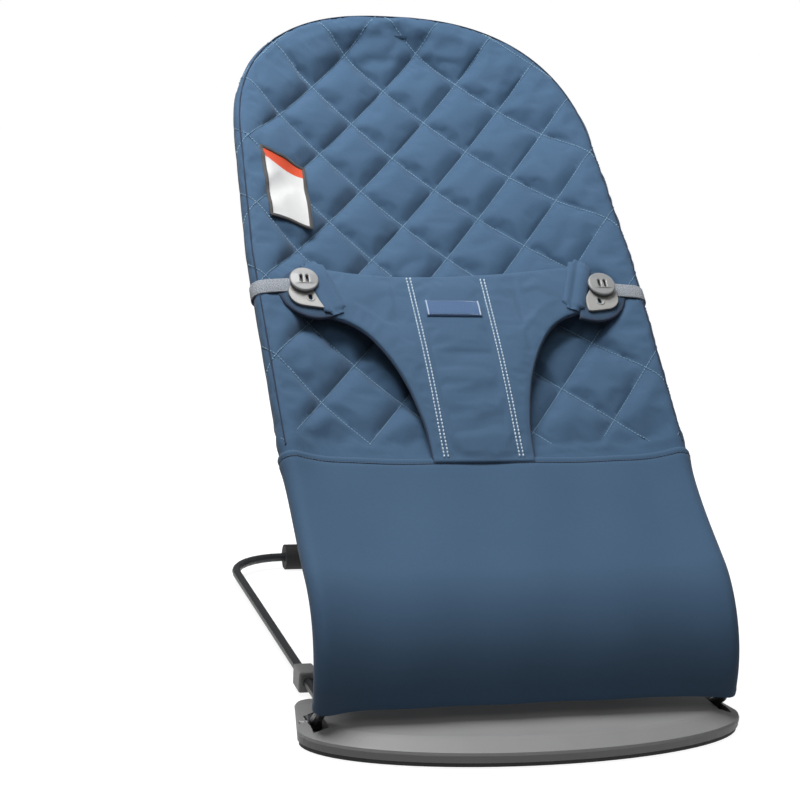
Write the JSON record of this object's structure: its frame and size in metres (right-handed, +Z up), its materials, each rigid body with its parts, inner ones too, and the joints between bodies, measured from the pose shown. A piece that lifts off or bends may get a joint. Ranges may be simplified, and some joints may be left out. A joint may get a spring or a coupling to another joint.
{
  "type": "baby bouncer seat",
  "caption": "Baby bouncer with a quilted cloth seat on a bent tube frame, a buttoned restraint, a half-moon front plate and a folding support hoop",
  "frame": {"origin": "centre of the bounding box in plan, on the floor", "axes": "+X to the side, -Y to the foot end, +Z up"},
  "size_m": [0.385, 0.6161, 0.5829],
  "materials": {
    "grey_plastic": "fine moulded texture",
    "light_plastic": "smooth moulded",
    "button_plastic": "smooth moulded",
    "dark_steel": "dark powder coat",
    "pin_steel": "turned",
    "rubber": "matt",
    "quilted_cotton": "quilted woven cotton",
    "plain_cotton": "plain woven cotton",
    "webbing": "melange webbing",
    "tag_cloth": "woven, blank",
    "patch_cloth": "printed cloth, blank"
  },
  "bodies": {
    "base": {"front_plate": "grey_plastic", "plate_pad": "rubber", "pivot_pin_left": "pin_steel", "pivot_pin_right": "pin_steel", "base_frame": "dark_steel", "rear_foot_left": "rubber", "rear_foot_right": "rubber", "hinge_block_left": "grey_plastic", "hinge_block_right": "grey_plastic", "hinge_pin_left": "pin_steel", "hinge_pin_right": "pin_steel"},
    "support": {"support_hoop": "dark_steel", "hoop_sleeve": "grey_plastic"},
    "seat": {"seat_leg_left": "dark_steel", "seat_leg_right": "dark_steel", "frame_coupler_left": "grey_plastic", "frame_coupler_right": "grey_plastic", "recline_rack_left": "grey_plastic", "recline_rack_right": "grey_plastic", "front_sleeve_left": "plain_cotton", "front_sleeve_right": "plain_cotton", "front_panel": "plain_cotton"},
    "back": {"side_tube_left": "dark_steel", "side_tube_right": "dark_steel", "head_bow": "dark_steel", "cover_sleeve_left": "quilted_cotton", "cover_sleeve_right": "quilted_cotton", "cover_sleeve_head": "quilted_cotton", "quilted_cover": "quilted_cotton", "restraint_panel": "quilted_cotton", "keyhole_plate_left": "light_plastic", "keyhole_plate_right": "light_plastic", "strap_left": "webbing", "strap_right": "webbing", "woven_tag": "tag_cloth", "sewn_patch": "patch_cloth"},
    "left_button": {"button_left": "button_plastic"},
    "right_button": {"button_right": "button_plastic"}
  },
  "joints": [
    {"name": "seat_recline", "type": "hinge", "parent": "base", "child": "seat", "pos_m": [0, -0.219, 0.0125], "axis": [1, 0, 0], "range_deg": [-38, 0]},
    {"name": "support_swing", "type": "hinge", "parent": "base", "child": "support", "pos_m": [0, -0.109, 0.0125], "axis": [1, 0, 0], "range_deg": [-63, 0]},
    {"name": "seat_bounce", "type": "hinge", "parent": "seat", "child": "back", "pos_m": [0, -0.1024, 0.2079], "axis": [1, 0, 0], "range_deg": [-3.5, 3], "stiffness_Nm_per_rad": 60, "springref_deg": 1.72},
    {"name": "left_button_slide", "type": "slide", "parent": "back", "child": "left_button", "axis": [0, -0.7385, -0.6743], "range_m": [0, 0.012]},
    {"name": "right_button_slide", "type": "slide", "parent": "back", "child": "right_button", "axis": [0, -0.7385, -0.6743], "range_m": [0, 0.012]}
  ],
  "couplings": [
    {"joint": "support_swing", "follows": "seat_recline", "ratio": 1.644}
  ]
}
